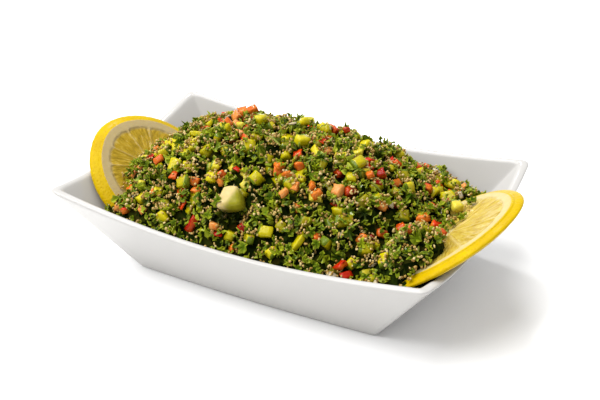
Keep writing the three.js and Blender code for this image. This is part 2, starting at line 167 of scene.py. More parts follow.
def show_piece(name, mesh, *materials, crisp=False):
    if not crisp:
        mesh.shade_smooth()
    for material in materials:
        mesh.materials.append(material)
    return new_object(name, mesh)


def new_object(name, data):
    made = bpy.data.objects.new(name, data)
    bpy.context.scene.collection.objects.link(made)
    return made


# ---- Shader helpers ----
def sum_of(operation, turned=False):
    """An arithmetic method that adds a Math node; `turned` when the socket stands second."""
    def method(self, other):
        first, second = (other, self) if turned else (self, other)
        return self.finish.node("ShaderNodeMath", {"operation": operation}, {0: first, 1: second})
    return method


class Signal:
    """A shader socket that can be used in sums like a number."""

    def __init__(self, finish, socket):
        self.finish = finish
        self.socket = socket

    __add__, __radd__ = sum_of("ADD"), sum_of("ADD", turned=True)
    __sub__, __rsub__ = sum_of("SUBTRACT"), sum_of("SUBTRACT", turned=True)
    __mul__, __rmul__ = sum_of("MULTIPLY"), sum_of("MULTIPLY", turned=True)
    __pow__ = sum_of("POWER")


def shade(code):
    """Linear colour of a six-digit code."""
    parts = [int(code[i:i + 2], 16) / 255 for i in (0, 2, 4)]
    linear = [p / 12.92 if p <= 0.04045 else ((p + 0.055) / 1.055) ** 2.4 for p in parts]
    return (*linear, 1.0)


class Finish:
    """A material whose nodes are added one call at a time."""

    def __init__(self, name):
        self.material = bpy.data.materials.new(name)
        self.material.use_nodes = True
        self.tree = self.material.node_tree
        self.shader = self.tree.nodes["Principled BSDF"]
        self.spot = self.node("ShaderNodeTexCoord", {}, {}, "Object")

    def connect(self, socket, value):
        """Links a signal, or sets a number, a vector or the colour of a code."""
        if isinstance(value, Signal):
            self.tree.links.new(value.socket, socket)
        else:
            socket.default_value = shade(value) if isinstance(value, str) else value

    def node(self, kind, settings, inputs, output=0):
        made = self.tree.nodes.new(kind)
        for key, value in settings.items():
            if key == "stops":
                fill_ramp(made.color_ramp, value)
            else:
                setattr(made, key, value)
        for key, value in inputs.items():
            self.connect(made.inputs[key], value)
        return Signal(self, made.outputs[output])

    def set(self, **values):
        for key, value in values.items():
            self.connect(self.shader.inputs[key.replace("_", " ")], value)

    def number(self, name):
        """A number stored on the piece's points."""
        return self.node("ShaderNodeAttribute", {"attribute_name": name}, {}, "Fac")

    def noise(self, scale, detail, vector=None):
        inputs = {"Vector": vector or self.spot, "Scale": scale, "Detail": detail}
        return self.node("ShaderNodeTexNoise", {}, inputs, "Fac")

    def cells(self, scale, output="Distance"):
        inputs = {"Vector": self.spot, "Scale": scale}
        return self.node("ShaderNodeTexVoronoi", {}, inputs, output)

    def step(self, value, low, high):
        settings = {"interpolation_type": "SMOOTHSTEP"}
        inputs = {"Value": value, "From Min": low, "From Max": high}
        return self.node("ShaderNodeMapRange", settings, inputs, "Result")

    def ramp(self, value, *stops):
        return self.node("ShaderNodeValToRGB", {"stops": stops}, {"Fac": value}, "Color")

    def mix(self, share, first, second):
        """A colour mix: on the Mix node the colours are inputs 6 and 7 and output 2."""
        return self.node("ShaderNodeMix", {"data_type": "RGBA"}, {0: share, 6: first, 7: second}, 2)

    def stretched(self, vector, scales):
        return self.node("ShaderNodeVectorMath", {"operation": "MULTIPLY"}, {0: vector, 1: scales})

    def soaked(self, weight, radius, scale):
        """Lets light in: how much, how far in red, green and blue, and over what length."""
        self.set(Subsurface_Weight=weight, Subsurface_Radius=radius, Subsurface_Scale=scale)

    def bumped(self, height, strength, distance):
        """The finished material, with small relief."""
        inputs = {"Height": height, "Strength": strength, "Distance": distance}
        self.set(Normal=self.node("ShaderNodeBump", {}, inputs, "Normal"))
        return self.material


def fill_ramp(ramp, stops):
    for place, code in stops[2:]:
        ramp.elements.new(place)
    for element, (place, code) in zip(ramp.elements, sorted(stops)):
        element.position = place
        element.color = shade(code)


# ---- Dish ----
SIDES = [
    ("long", (-1, -1), (1, -1)),
    ("short", (1, -1), (1, 1)),
    ("long", (1, 1), (-1, 1)),
    ("short", (-1, 1), (-1, -1)),
]
SIDE_STEPS = {"long": 50, "short": 34}
CORNER_STEPS = 9
LIP_FULLNESS = 0.75  # 1 is a half round lip, less is squarer


def make_stations():
    """Places once round the dish, as (side, along, turn): turn is None on a side."""
    stations = []
    for index, (kind, _, _) in enumerate(SIDES):
        steps = SIDE_STEPS[kind]
        reach = 1 - CORNER_SHARE[kind]
        stations += [(index, lerp(-reach, reach, i / steps), None) for i in range(steps + 1)]
        stations += [(index, None, i / CORNER_STEPS) for i in range(1, CORNER_STEPS)]
    return stations


STATIONS = make_stations()


def station_at(turn):
    return STATIONS[round(turn * len(STATIONS)) % len(STATIONS)]


def side_point(index, along, z, skin, inset):
    kind, start, end = SIDES[index]
    half_x = BASE_LENGTH / 2 + FLARE_X * z - skin * WALL_X - inset
    half_y = BASE_WIDTH / 2 + FLARE_Y * z - skin * WALL_Y - inset
    swell = (BOW[kind][0] + BOW[kind][1] * z) * (1 - along * along)
    share = (along + 1) / 2
    x = lerp(start[0], end[0], share) * half_x + (start[0] * swell if kind == "short" else 0)
    y = lerp(start[1], end[1], share) * half_y + (start[1] * swell if kind == "long" else 0)
    return Vector((x, y, z))


def through_corner(turn, start, corner, end, pull=1.0):
    """A curve from start to end that runs the closer to the corner, the larger `pull` is."""
    near = (1 - turn) ** 2
    middle = 2 * pull * turn * (1 - turn)
    far = turn ** 2
    return (start * near + corner * middle + end * far) / (near + middle + far)


def corner_ends(index):
    """Where the corner after a side starts on it, and the next side with where the corner ends."""
    following = (index + 1) % len(SIDES)
    before = 1 - CORNER_SHARE[SIDES[index][0]]
    return before, following, -1 + CORNER_SHARE[SIDES[following][0]]


def dish_point(station, z, skin=0.0, inset=0.0):
    """A point at height z on the outer face (skin 0) or the inner one (skin 1)."""
    index, along, turn = station
    if turn is None:
        return side_point(index, along, z, skin, inset)
    before, following, after = corner_ends(index)
    start = side_point(index, before, z, skin, inset)
    corner = side_point(index, 1, z, skin, inset)
    end = side_point(following, after, z, skin, inset)
    return through_corner(turn, start, corner, end, 1 + INNER_CORNER_PULL * skin)


def side_rim(index, along):
    return DISH_HEIGHT - RIM_DIP[SIDES[index][0]] * (1 - along * along)


def rim_height(station):
    index, along, turn = station
    if turn is None:
        return side_rim(index, along)
    before, following, after = corner_ends(index)
    return through_corner(turn, side_rim(index, before), DISH_HEIGHT, side_rim(following, after))


def fillet_point(station, share):
    z = FLOOR + FLOOR_FILLET * (1 - share) ** 2
    return dish_point(station, z, 1, FLOOR_FILLET * share ** 2)


def plan_share(point, share, z):
    return Vector((point.x * share, point.y * share, z))


def wall_share(station, foot, share):
    """Height of a share of the way from the wall's foot to where its lip begins."""
    return lerp(foot, rim_height(station) - WALL / 2, share)


def dish_rows():
    """The rows of the dish's skin from under its foot, over the lip and down to its floor."""
    rows = [
        lambda s, t=i / 6: plan_share(dish_point(s, 0, 0, FOOT_RING + 1.5), t, FOOT_HOLLOW)
        for i in range(7)
    ]
    for inset, depth in ((0.8, 0.8), (0.3, 0.3), (0, 0)):
        lift = Vector((0, 0, FOOT_HOLLOW * depth))
        rows.append(lambda s, i=FOOT_RING + inset, up=lift: dish_point(s, 0, 0, i) + up)
    rows.append(lambda s: dish_point(s, 0, 0, BASE_ROUND + 1))
    for i in range(6):
        angle = i / 5 * pi / 2
        drop = BASE_ROUND * (1 - sin(angle))
        rows.append(lambda s, a=angle, d=drop: dish_point(s, BASE_ROUND * (1 - cos(a)), 0, d))
    walls = [i / 18 for i in range(1, 18)]
    for share in walls:
        rows.append(lambda s, t=share: dish_point(s, wall_share(s, BASE_ROUND, t)))
    for i in range(13):
        angle = i / 12 * pi
        rise = sin(angle) ** LIP_FULLNESS
        out = copysign(abs(cos(angle)) ** LIP_FULLNESS, cos(angle))
        drop = (1 - rise) * WALL / 2
        rows.append(lambda s, a=(1 - out) / 2, d=drop: dish_point(s, rim_height(s) - d, a))
    for share in reversed(walls):
        rows.append(lambda s, t=share: dish_point(s, wall_share(s, FLOOR + FLOOR_FILLET, t), 1))
    rows += [lambda s, t=i / 8: fillet_point(s, t) for i in range(9)]
    rows += [lambda s, t=i / 6: plan_share(fillet_point(s, 1), t, FLOOR) for i in range(5, -1, -1)]
    return rows


def porcelain_glaze():
    finish = Finish("porcelain_glaze")
    cloud = finish.noise(14, 3)
    finish.set(
        Base_Color=finish.mix(cloud, "acaaa7", "b0aeab"),
        Roughness=0.1 + finish.noise(60, 2) * 0.07,
        IOR=1.5,
        Specular_IOR_Level=0.25,
    )
    return finish.bumped(finish.noise(45, 1.5), 0.06, 0.0006)


def bare_porcelain():
    finish = Finish("bare_porcelain")
    grain = finish.noise(900, 3)
    finish.set(
        Base_Color=finish.mix(grain, "ddd8cd", "ebe7df"),
        Roughness=0.6 + grain * 0.2,
    )
    return finish.bumped(grain, 0.3, 0.0002)


def make_dish():
    rows = dish_rows()
    bm = wrapped_skin(len(STATIONS), len(rows) - 1, lambda turn, row: rows[row](station_at(turn)))
    for face in bm.faces:
        if all(v.co.z < BASE_ROUND * 0.1 for v in face.verts):
            face.material_index = 1
    dish = finish_piece("porcelain_dish", bm, porcelain_glaze(), bare_porcelain())
    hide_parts("dish")
    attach(dish, "root")
    return dish


# ---- Lemon slices ----
FACE_ROWS = 60  # rows of the cut face, from its middle to the zest
PEEL_ROWS = 20
BACK_ROWS = 16
SLICE_COLUMNS = 360
CORE_RADIUS = 2.4
FLESH_DEPTH = 0.45  # how far the flesh sinks under the pith
SAC_LENGTH, SAC_WIDTH, SAC_RELIEF = 5.2, 1.25, 0.5


def slice_matrix(cut):
    """The slice's own frame: its cut face looks along +Z, and +Y runs up the slope of that face."""
    normal = Vector(cut["normal"]).normalized()
    across = Vector((0, 0, 1)).cross(normal).normalized()
    turn = Matrix((across, normal.cross(across), normal)).transposed().to_4x4()
    return Matrix.Translation(cut["centre"]) @ turn


def slice_outline(cut, angle):
    """How far the outline strays from a circle, as a share of its radius."""
    a, b, c, d = cut["lobes"]
    twice = a * cos(2 * angle) + b * sin(2 * angle)
    thrice = c * cos(3 * angle) + d * sin(3 * angle)
    return 1 + twice + thrice + 0.003 * sin(7 * angle + 2)


def segment_place(cut, angle):
    """Which segment an angle lies in, and where from -1 to 1 across it."""
    count = cut["segments"]
    sway = 0.16 * sin(2.3 * angle + cut["first_membrane"] * 9) + 0.1 * sin(5 * angle)
    place = (angle - cut["first_membrane"]) / (2 * pi) * count + sway
    index = int(place // 1)
    return index % count, (place - index) * 2 - 1


def face_relief(cut, radius, angle):
    """Height of the cut face and how white it is, from 0 in the flesh to 1 in the pith."""
    flesh = cut["radius"] - PITH
    index, across = segment_place(cut, angle)
    half_width = pi / cut["segments"] * radius
    from_membrane = (1 - abs(across)) * half_width
    bulge = 1 - 0.055 * abs(across) ** 5 - 0.02 * ((index * 37) % 5) / 5
    from_pith = flesh * bulge - radius
    from_core = radius - CORE_RADIUS * (1 + 0.25 * sin(3 * angle + index))
    sunk = smooth(-0.1, 0.9, min(from_membrane - 0.2, from_pith, from_core))
    membrane = smooth(0.7, 0.05, from_membrane) * (0.35 + 0.3 * wavy(angle * 9, radius / 6, 2, 1))
    white = max(membrane, smooth(cut["blur"], -0.1, min(from_pith, from_core)))
    x, y = radius * cos(angle), radius * sin(angle)
    out = radius / SAC_LENGTH
    row = noise.noise(Vector((out, angle * cut["segments"] * 1.4, index * 3.7)))
    ridge = noise.noise(Vector((out + 4, across * half_width / SAC_WIDTH, index * 7.1)))
    sacs = (0.65 * ridge + 0.35 * row) * SAC_RELIEF
    height = -FLESH_DEPTH * sunk + sacs * sunk + 0.12 * wavy(x, y, index, 3.0) * (1 - sunk)
    return height, white


def slice_point(cut, turn, radius, z, on_face):
    angle = cut["first_membrane"] + turn * 2 * pi
    outline = slice_outline(cut, angle)
    if on_face:
        edge = cut["radius"] - ZEST_ROUND
        lift = face_relief(cut, radius, angle)[0] if radius < edge - 0.2 else 0
        fade = smooth(edge, edge - 1.2, radius)
        z += lift * (1 - fade) if radius > cut["radius"] - PITH else lift
    else:
        around = angle * cut["radius"]
        pore = noise.cell(Vector((around / 1.3, z / 1.3, 3)))
        radius += 0.16 * wavy(around, z, 5, 1.7) - 0.05 * pore
    return Vector((radius * outline * cos(angle), radius * outline * sin(angle), z))


def slice_rows(cut):
    """(radius, height) of each ring: the cut face, the rounded zest, the peel and the back."""
    edge = cut["radius"] - ZEST_ROUND
    back, thickness = cut["back_radius"], cut["thickness"]
    rows = [(edge * (i / FACE_ROWS) ** 0.9, 0.0) for i in range(FACE_ROWS + 1)]
    for i in range(1, 5):
        angle = i / 4 * pi / 2
        drop = -ZEST_ROUND * 0.7 * (1 - cos(angle))
        rows.append((edge + ZEST_ROUND * sin(angle), drop))
    for i in range(1, PEEL_ROWS):
        share = i / PEEL_ROWS
        swell = cut["bulge"] * sin(share * pi) ** 0.8
        ring = lerp(cut["radius"], back + ZEST_ROUND, share)
        rows.append((ring + swell, -ZEST_ROUND * 0.7 - (thickness - ZEST_ROUND * 1.4) * share))
    rows.append((back + ZEST_ROUND * 0.6, -thickness + ZEST_ROUND * 0.3))
    rows += [(back * (1 - i / BACK_ROWS), -thickness) for i in range(BACK_ROWS + 1)]
    return rows


def lemon_cut_finish(name, cut):
    """Cut face: cream pith and membranes round wet, streaked flesh."""
    finish = Finish(name)
    unrolled = finish.node("ShaderNodeUVMap", {"uv_map": "polar"}, {}, "UV")
    white = finish.number("pith")
    streaks = finish.noise(1.0, 3, finish.stretched(unrolled, (170.0, 16.0, 1.0)))
    patches = finish.noise(1.0, 2, finish.stretched(unrolled, (42.0, 9.0, 1.0)))
    flesh = finish.ramp(streaks * 0.5 + patches * 0.5, *cut["flesh_stops"])
    pith = finish.mix(finish.noise(300, 3), *cut["pith_tones"])
    finish.set(
        Base_Color=finish.mix(white, flesh, pith),
        Roughness=0.25 + white * 0.3,
        Coat_Weight=0.15,
        Coat_Roughness=0.15,
        Specular_IOR_Level=0.12,
    )
    finish.soaked(0.25, (1.0, 0.8, 0.25), 0.003)
    return finish.bumped(streaks, 0.25, 0.0005)


def lemon_zest_finish():
    """Zest: waxy yellow with fine oil pores, a little deeper between them."""
    finish = Finish("lemon_zest")
    pores = finish.step(finish.cells(700), 0.05, 0.5)
    cloud = finish.noise(90, 3)
    yellow = finish.ramp(cloud, (0.3, "ab8d00"), (0.5, "b19400"), (0.7, "b89c00"))
    finish.set(
        Base_Color=finish.mix(pores * 0.4 + 0.6, "a07a00", yellow),
        Roughness=0.42 - pores * 0.12,
        Specular_IOR_Level=0.05,
    )
    finish.soaked(0.1, (1.0, 0.8, 0.1), 0.002)
    return finish.bumped(pores, 0.35, 0.00035)


def make_lemon_slice(name, zest_finish):
    cut = SLICES[name]
    rows = slice_rows(cut)

    def place(turn, row):
        return slice_point(cut, turn, *rows[row], row <= FACE_ROWS)

    bm = wrapped_skin(SLICE_COLUMNS, len(rows) - 1, place)
    pith = bm.verts.layers.float.new("pith")
    for v in bm.verts:
        radius, angle = polar(v.co)
        v[pith] = face_relief(cut, radius / slice_outline(cut, angle), angle)[1]
    zest_start = cut["radius"] - cut["zest"]
    for face in bm.faces:
        middle = face.calc_center_median()
        radius, angle = polar(middle)
        radius /= slice_outline(cut, angle)
        on_peel = radius > zest_start or -cut["thickness"] + 0.4 < middle.z < -0.8
        face.material_index = 1 if on_peel and radius > cut["back_radius"] - 1 else 0
    bmesh.ops.transform(bm, matrix=slice_matrix(cut), verts=bm.verts)
    cut_finish = lemon_cut_finish(name.replace("slice", "cut"), cut)
    piece = finish_piece(name + "_cut", bm, cut_finish, zest_finish)
    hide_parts(name)
    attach(piece, "root")
    return piece


# ---- Shape of the heap ----
def heap_height(x, y):
    u = np.abs(x - HEAP["centre"][0]) / HEAP["reach"][0]
    v = np.abs(y - HEAP["centre"][1]) / HEAP["reach"][1]
    dome = np.maximum(0, 1 - u ** HEAP["power"][0]) * np.maximum(0, 1 - v ** HEAP["power"][1])
    corner = np.maximum(0, u * u + v * v - HEAP["corner_start"]) * HEAP["corner_fall"]
    height = HEAP["edge_height"] + HEAP["lean"] * x + HEAP["rise"] * dome - corner
    for middle, reach, rise in MOUNDS:
        along_x = np.maximum(0, 1 - ((x - middle[0]) / reach[0]) ** 2)
        along_y = np.maximum(0, 1 - ((y - middle[1]) / reach[1]) ** 4)
        height = height + rise * along_x * along_y
    return height


def scattered_clumps():
    """Middles and heights of the clumps that the top of the heap is made up of."""
    rng = np.random.default_rng(SEED + 1)
    places = []
    for x in np.arange(-96, 97, CLUMP_SPACING):
        for y in np.arange(-60, 61, CLUMP_SPACING):
            off = rng.uniform(-0.45, 0.45, 2) * CLUMP_SPACING
            places.append((x + off[0], y + off[1], rng.uniform(*CLUMP_HEIGHTS)))
    return np.array(places)


CLUMPS = scattered_clumps()


def lumps(x, y):
    """Rounded clumps with creases between them, and a dip round the large chunk."""
    away = (x[..., None] - CLUMPS[:, 0]) ** 2 + (y[..., None] - CLUMPS[:, 1]) ** 2
    height = np.max(CLUMPS[:, 2] - CLUMP_ROUND * away, axis=-1)
    dip = (x - WEDGE_PLACE[0] - 4) ** 2 / 110 + (y - WEDGE_PLACE[1] + 1) ** 2 / 60
    return height - WEDGE_DIP * np.exp(-dip)


def heap_normal(x, y):
    step = 1.0
    slope_x = (heap_height(x + step, y) - heap_height(x - step, y)) / (2 * step)
    slope_y = (heap_height(x, y + step) - heap_height(x, y - step)) / (2 * step)
    return Vector((-slope_x, -slope_y, 1)).normalized()


def wall_clearance(points):
    """How far each point lies inside the dish's inner walls, negative beyond them."""
    x, y, z = np.abs(points[:, 0]), np.abs(points[:, 1]), points[:, 2]
    half_x = BASE_LENGTH / 2 + FLARE_X * z - WALL_X
    half_y = BASE_WIDTH / 2 + FLARE_Y * z - WALL_Y
    u = np.minimum(x / half_x, 1)
    v = np.minimum(y / half_y, 1)
    room_x = half_x + (BOW["short"][0] + BOW["short"][1] * z) * (1 - v * v) - x
    room_y = half_y + (BOW["long"][0] + BOW["long"][1] * z) * (1 - u * u) - y
    return room_x, room_y


HALF_ROOM = (88.0, 52.0)  # of the dish's inside, about half way up


def wall_height(x, y):
    """Height at which the inner wall passes over a place in plan."""
    v = np.minimum(np.abs(y) / HALF_ROOM[1], 1)
    u = np.minimum(np.abs(x) / HALF_ROOM[0], 1)
    bow_x = 1 - v * v
    bow_y = 1 - u * u
    flat_x = BASE_LENGTH / 2 - WALL_X + BOW["short"][0] * bow_x
    flat_y = BASE_WIDTH / 2 - WALL_Y + BOW["long"][0] * bow_y
    over_x = (np.abs(x) - flat_x) / (FLARE_X + BOW["short"][1] * bow_x)
    over_y = (np.abs(y) - flat_y) / (FLARE_Y + BOW["long"][1] * bow_y)
    return np.maximum(np.maximum(over_x, over_y), FLOOR)


BESIDE = 1000.0  # stands for the height of a slice where there is none


class SliceBody:
    """A lemon slice as a plain disc, for keeping the salad off it."""

    def __init__(self, cut):
        self.turn = np.array(slice_matrix(cut).to_3x3())
        self.centre = np.array(cut["centre"])
        self.radius = cut["radius"] + cut["bulge"] * 0.8
        self.thickness = cut["thickness"]

    def overlap(self, points):
        """How deep the deepest point inside the disc lies under its cut face, at least -1."""
        local = (points - self.centre) @ self.turn
        inside = np.hypot(local[:, 0], local[:, 1]) < self.radius + 0.3
        inside &= local[:, 2] > -self.thickness - 0.3
        return float(np.max(np.where(inside, 0.15 - local[:, 2], -1)))

    def height(self, x, y, middle, radius, beside):
        """Height over each place in plan of the round face at `middle`, or `beside` it."""
        normal = self.turn[:, 2]
        z = middle[2] - ((x - middle[0]) * normal[0] + (y - middle[1]) * normal[1]) / normal[2]
        local = (np.stack([x, y, z], -1) - middle) @ self.turn
        return np.where(np.hypot(local[..., 0], local[..., 1]) < radius, z, beside)

    def face_height(self, x, y):
        return self.height(x, y, self.centre, self.radius, -BESIDE)

    def underside(self, x, y):
        middle = self.centre - self.turn[:, 2] * self.thickness
        return self.height(x, y, middle, self.radius + 1, BESIDE)


SLICE_BODIES = [SliceBody(cut) for cut in SLICES.values()]


def core_top(x, y):
    """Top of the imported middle: under the heap's top, and under the slices that hang over it."""
    top = heap_height(x, y) + lumps(x, y) - CORE_DEPTH
    for body in SLICE_BODIES:
        buried = top > body.face_height(x, y) + 2.5
        under = body.underside(x, y)
        hung_over = under < BESIDE
        top = np.where(hung_over & ~buried, np.minimum(top, under - 0.6), top)
    return top


# ---- Chopped pieces ----
class Chop:
    """One cut shape that is scattered many times, with test points all over its skin."""

    def __init__(self, bm, mark=None):
        bmesh.ops.recalc_face_normals(bm, faces=bm.faces)
        bm.verts.index_update()
        self.points = np.array([v.co[:] for v in bm.verts])
        self.marks = np.array([float(mark(v.co)) if mark else 0.0 for v in bm.verts])
        loops = [[v.index for v in face.verts] for face in bm.faces]
        bm.free()
        # Sorted, so that nothing hangs on the order in which the mesh keeps its faces.
        starts = [loop.index(min(loop)) for loop in loops]
        self.faces = sorted(loop[start:] + loop[:start] for loop, start in zip(loops, starts))
        pairs = (pair for loop in loops for pair in zip(loop, loop[1:] + loop[:1]))
        edges = sorted({tuple(sorted(pair)) for pair in pairs})
        centres = [self.points[list(group)].mean(axis=0) for group in self.faces + edges]
        self.tests = np.concatenate([self.points, centres])


def roughen(bm, rng, amount, size):
    """Pushes points about by smooth noise, so that no two cuts are alike."""
    offset = Vector(rng.uniform(-50, 50, 3))
    for v in bm.verts:
        v.co += noise.noise_vector(v.co / size + offset) * amount


def soften(bm):
    bmesh.ops.smooth_vert(
        bm, verts=bm.verts, factor=0.5, use_axis_x=True, use_axis_y=True, use_axis_z=True
    )


def rough_box(rng, size, skew):
    """A box with no two sides quite parallel."""
    bm = bmesh.new()
    bmesh.ops.create_cube(bm, size=1)
    for v in bm.verts:
        v.co = Vector([c * s * (1 - rng.uniform(0, skew)) for c, s in zip(v.co, size)])
    return bm


def block(rng, size, cuts, skew):
    """A knife-cut block, its edges a little softened."""
    bm = rough_box(rng, size, skew)
    bmesh.ops.subdivide_edges(bm, edges=bm.edges, cuts=cuts, use_grid_fill=True)
    soften(bm)
    return bm


def curled(rng, length, width, thickness, skew, curl):
    """A thin cut that bends down towards its ends."""
    bm = block(rng, (rng.uniform(*length), rng.uniform(*width), thickness), 2, skew)
    for v in bm.verts:
        v.co.z -= curl * v.co.x * v.co.x
    return bm


def cucumber_die(rng):
    """A die of cucumber with its rind on one end."""
    length = 8.6 * rng.uniform(0.65, 1.2)
    size = (length, 7.2 * rng.uniform(0.7, 1.15), 6.0 * rng.uniform(0.7, 1.15))
    bm = block(rng, size, 2, 0.28)
    roughen(bm, rng, 0.8, 2.4)
    return Chop(bm, lambda p: p.x > length / 2 * 0.62)


def cucumber_strip(rng):
    """A curved strip cut along the rind."""
    length = rng.uniform(10, 15)
    size = (length, rng.uniform(3.2, 4.4), rng.uniform(2.6, 3.8))
    bm = block(rng, size, 3, 0.2)
    bend = rng.uniform(3.5, 6.5)
    for v in bm.verts:
        angle = v.co.x / bend / 1.3
        radius = bend * 1.3 + v.co.y
        v.co.x, v.co.y = sin(angle) * radius, cos(angle) * radius - bend * 1.3
    roughen(bm, rng, 0.3, 2)
    return Chop(bm)


def tomato_die(rng):
    size = (7.4 * rng.uniform(0.6, 1.15), 6.0 * rng.uniform(0.65, 1.1), rng.uniform(3.0, 5.2))
    bm = block(rng, size, 2, 0.35)
    roughen(bm, rng, 0.9, 1.9)
    top = size[2] / 2
    skinned = rng.uniform(0, 1) < 0.25
    return Chop(bm, lambda p: skinned and p.z > top * 0.5)


def tomato_flake(rng):
    curl = 0.07
    bm = curled(rng, (4.5, 7), (3, 4.5), 1.3, 0.3, curl)
    roughen(bm, rng, 0.5, 1.8)
    return Chop(bm, lambda p: p.z > -curl * p.x * p.x)


def onion_shard(rng):
    bm = curled(rng, (3.6, 5.6), (2.6, 3.6), 1.2, 0.25, 0.06)
    roughen(bm, rng, 0.25, 2)
    return Chop(bm)


def onion_ring(rng):
    """A slice of spring onion: a tube wall spun round its middle."""
    outer = rng.uniform(2.5, 3.3)
    inner = outer - rng.uniform(0.6, 0.9)
    height = rng.uniform(1.8, 2.6)
    bm = bmesh.new()
    profile = [(inner, -0.5), (outer, -0.5), (outer + 0.1, 0), (outer, 0.5), (inner, 0.5)]
    verts = [bm.verts.new((x, 0, z * height)) for x, z in profile]
    edges = [bm.edges.new((a, b)) for a, b in zip(verts, verts[1:] + verts[:1])]
    turn = {"cent": (0, 0, 0), "axis": (0, 0, 1), "angle": 2 * pi, "steps": 14}
    bmesh.ops.spin(bm, geom=verts + edges, use_merge=True, **turn)
    bmesh.ops.remove_doubles(bm, verts=bm.verts, dist=1e-4)
    for v in bm.verts:
        v.co.x *= 1.12
    roughen(bm, rng, 0.3, 2.5)
    skin = lerp(outer, inner, 0.4)
    return Chop(bm, lambda p: hypot(p.x / 1.12, p.y) > skin)


def bulgur_grain(rng):
    """A cracked grain: a block with its edges cut off."""
    size = (rng.uniform(1.2, 2.2), rng.uniform(1.0, 1.5), rng.uniform(0.8, 1.2))
    bm = rough_box(rng, size, 0.5)
    cut = {"affect": "EDGES", "segments": 1, "profile": 0.5, "material": -1}
    bmesh.ops.bevel(bm, geom=bm.edges, offset=0.26, **cut)
    return Chop(bm)


def parsley_bit(rng, length, width, points, frill, crumple):
    """A torn bit of curly parsley: a lobed disc, cupped, ruffled along its rim and thickened."""
    bm = bmesh.new()
    bmesh.ops.create_circle(bm, cap_ends=True, segments=points, radius=1)
    rim = sorted(bm.verts, key=lambda v: polar(v.co)[1])
    order = {v: i for i, v in enumerate(rim)}
    bmesh.ops.inset_region(bm, faces=bm.faces, thickness=0.34)
    bmesh.ops.poke(bm, faces=[f for f in bm.faces if len(f.verts) == points])
    length, width = rng.uniform(*length), rng.uniform(*width)
    cup = rng.uniform(0.1, 0.6)
    twist = rng.uniform(-0.5, 0.5)
    lobes, phase = rng.integers(3, 6), rng.uniform(0, 6.28)
    for v in bm.verts:
        radius, angle = polar(v.co)
        reach = 1 + 0.24 * radius * cos(lobes * angle + phase)
        lift = 0.0
        if v in order:
            side = 1 if order[v] % 2 == 0 else -1
            reach *= 1 + side * rng.uniform(0.04, 0.2)
            lift = side * frill * rng.uniform(0.5, 1.2)
        x, y = v.co.x * reach * length / 2, v.co.y * reach * width / 2
        v.co = Vector((x, y, lift + cup * radius * abs(y) + twist * x * y / length))
    roughen(bm, rng, crumple, 2.0)
    middle = sum((v.co for v in bm.verts), Vector()) / len(bm.verts)
    bmesh.ops.translate(bm, vec=-middle, verts=bm.verts)
    bmesh.ops.recalc_face_normals(bm, faces=bm.faces)
    bmesh.ops.solidify(bm, geom=bm.faces, thickness=0.28)
    longest = max(length, width) / 2
    return Chop(bm, lambda p: clamp(polar(p)[0] / longest))


def parsley(*form):
    return lambda rng: parsley_bit(rng, *form)


def parsley_stem(rng):
    """A short cut of stalk, bent a little."""
    bm = bmesh.new()
    length = rng.uniform(4, 8)
    bmesh.ops.create_cone(bm, cap_ends=True, segments=6, radius1=0.5, radius2=0.42, depth=length)
    sides = [e for e in bm.edges if abs(e.verts[0].co.z - e.verts[1].co.z) > length / 2]
    bmesh.ops.subdivide_edges(bm, edges=sides, cuts=3)
    bend = rng.uniform(0.02, 0.09)
    for v in bm.verts:
        v.co.x += bend * v.co.z ** 2
    bmesh.ops.rotate(bm, matrix=Matrix.Rotation(pi / 2, 3, "Y"), verts=bm.verts)
    return Chop(bm)


def pale_wedge():
    """The one large chunk: a peeled quarter of cucumber, its own cream and green, painted lit cream
    on its upper side towards -x and +y and painted shaded green towards +x, -y and below.
    """
    rng = np.random.default_rng(SEED + 2)
    bm = block(rng, (13.0, 11.5, 10.5), 6, 0.12)
    for v in bm.verts:
        along = clamp(v.co.y / 11.0 + 0.5)
        v.co.x *= 1 - 0.5 * along ** 1.6
        v.co.z *= 1 - 0.3 * along ** 2
    for _ in range(4):
        soften(bm)
    roughen(bm, rng, 0.4, 4)
    roughen(bm, rng, 0.15, 1.6)
    # The mark runs from 0 on the upper side towards -x and +y, painted as lit cream, to 1 towards
    # +x, -y and below, painted as shaded green.
    return Chop(bm, lambda p: smooth(-0.6, 2.0, p.x * 0.8 - p.y * 0.5 - p.z * 0.15))


# ---- Filling the dish ----
CELL = 0.6  # mesh width of the grids of heights
BLUR_CELLS = 4  # how far the tops are averaged, three times over, to tell crests from the gaps that get painted shade
GAP_SHADE_DEPTH = 3.6  # depth under the tops at which the painted shade in a gap is at its darkest
WALL_ROOM = 0.2
PUSH_LIMIT = 5.0  # a piece that would have to be moved further doesn't fit
PROUD_SHARE = 0.85  # share of a piece that has to lie under its limit


